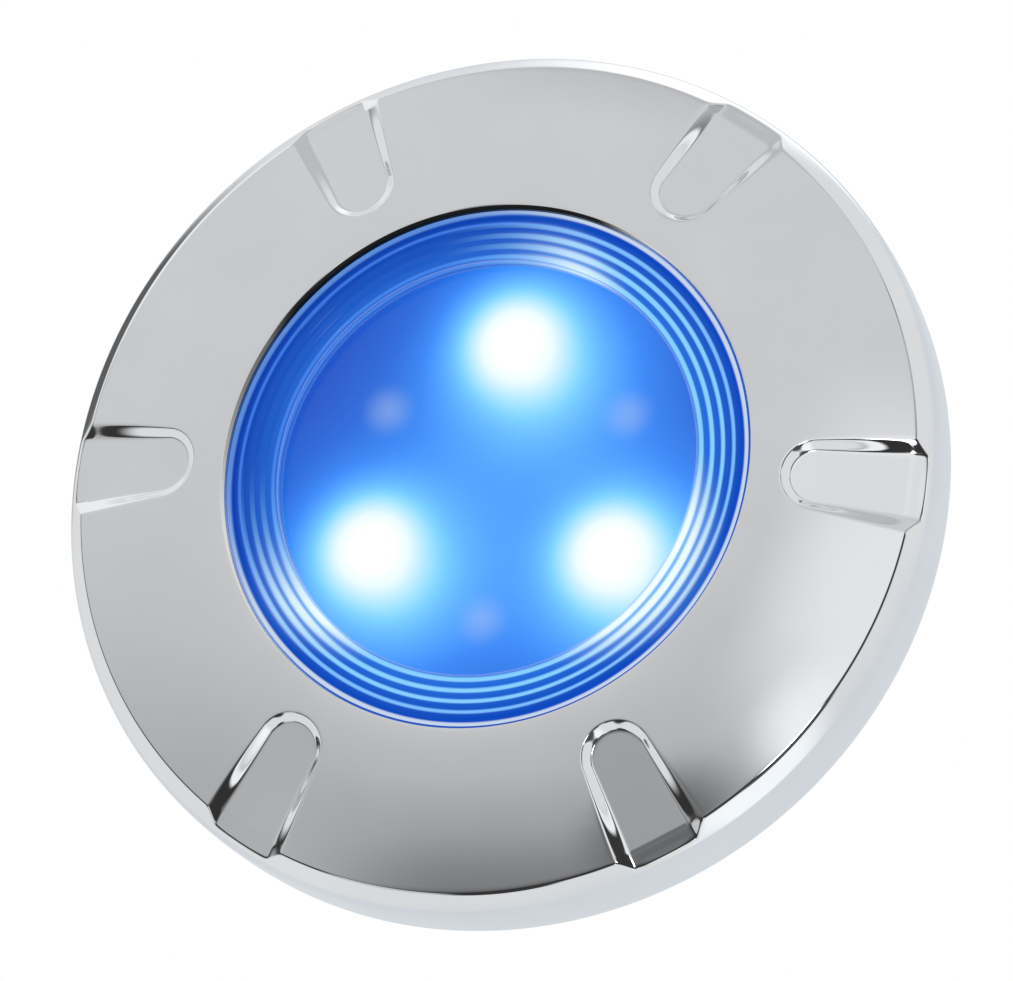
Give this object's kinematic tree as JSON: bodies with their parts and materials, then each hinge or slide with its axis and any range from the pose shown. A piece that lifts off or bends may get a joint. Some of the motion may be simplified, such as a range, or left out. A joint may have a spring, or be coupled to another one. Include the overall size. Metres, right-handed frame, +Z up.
{
  "type": "underwater pool light",
  "caption": "Round recess-free LED pool light: domed chrome face ring with U-shaped finger grips, ridged lens, threaded wall adapter.",
  "frame": {"origin": "centre of the light on the pool wall's surface, where the adapter's flange rests", "axes": "+Y into the wall along the light's axis, so the front faces -Y into the water; +Z up, through one lit LED"},
  "size_m": [0.1298, 0.06, 0.1298],
  "materials": {
    "chrome_face": "polished",
    "lens_clear": "gloss",
    "seal_rubber": "matte",
    "body_plastic": "satin",
    "adapter_plastic": "satin",
    "screw_steel": "satin",
    "aluminium": "satin",
    "board_mask": "satin",
    "reflector_white": "satin",
    "diffuser_opal": "matte",
    "main_led": "gloss",
    "white_led": "gloss",
    "driver_mask": "satin",
    "component_black": "satin",
    "capacitor_sleeve": "satin",
    "gland_metal": "satin"
  },
  "bodies": {
    "wall_mount": {"wall_adapter": "adapter_plastic"},
    "light": {"lens": "lens_clear", "lens_seal": "seal_rubber", "cap_seal": "seal_rubber", "wall_gasket": "seal_rubber", "gland_seal": "seal_rubber", "housing": "body_plastic", "lens_retainer": "body_plastic", "rear_cap": "body_plastic", "retainer_screw_1": "screw_steel", "retainer_screw_2": "screw_steel", "retainer_screw_3": "screw_steel", "retainer_screw_4": "screw_steel", "retainer_screw_5": "screw_steel", "retainer_screw_6": "screw_steel", "board_screw_1": "screw_steel", "board_screw_2": "screw_steel", "board_screw_3": "screw_steel", "heat_spreader": "aluminium", "led_board": "board_mask", "reflector_plate": "reflector_white", "diffuser": "diffuser_opal", "main_led_1": "main_led", "main_led_2": "main_led", "main_led_3": "main_led", "white_led_1": "white_led", "white_led_2": "white_led", "white_led_3": "white_led", "driver_board": "driver_mask", "board_connector": "component_black", "driver_chip": "component_black", "driver_inductor": "component_black", "driver_capacitor": "capacitor_sleeve", "gland_body": "gland_metal", "gland_nut": "gland_metal", "gland_lock_nut": "gland_metal"},
    "ring": {"face_ring": "chrome_face"}
  },
  "joints": [
    {"name": "light_twist", "type": "hinge", "parent": "wall_mount", "child": "light", "pos_m": [0, 0, 0], "axis": [0, -1, 0], "range_deg": [0, 40]},
    {"name": "ring_twist", "type": "hinge", "parent": "light", "child": "ring", "pos_m": [0, 0, 0], "axis": [0, -1, 0], "range_deg": [0, 30]}
  ]
}
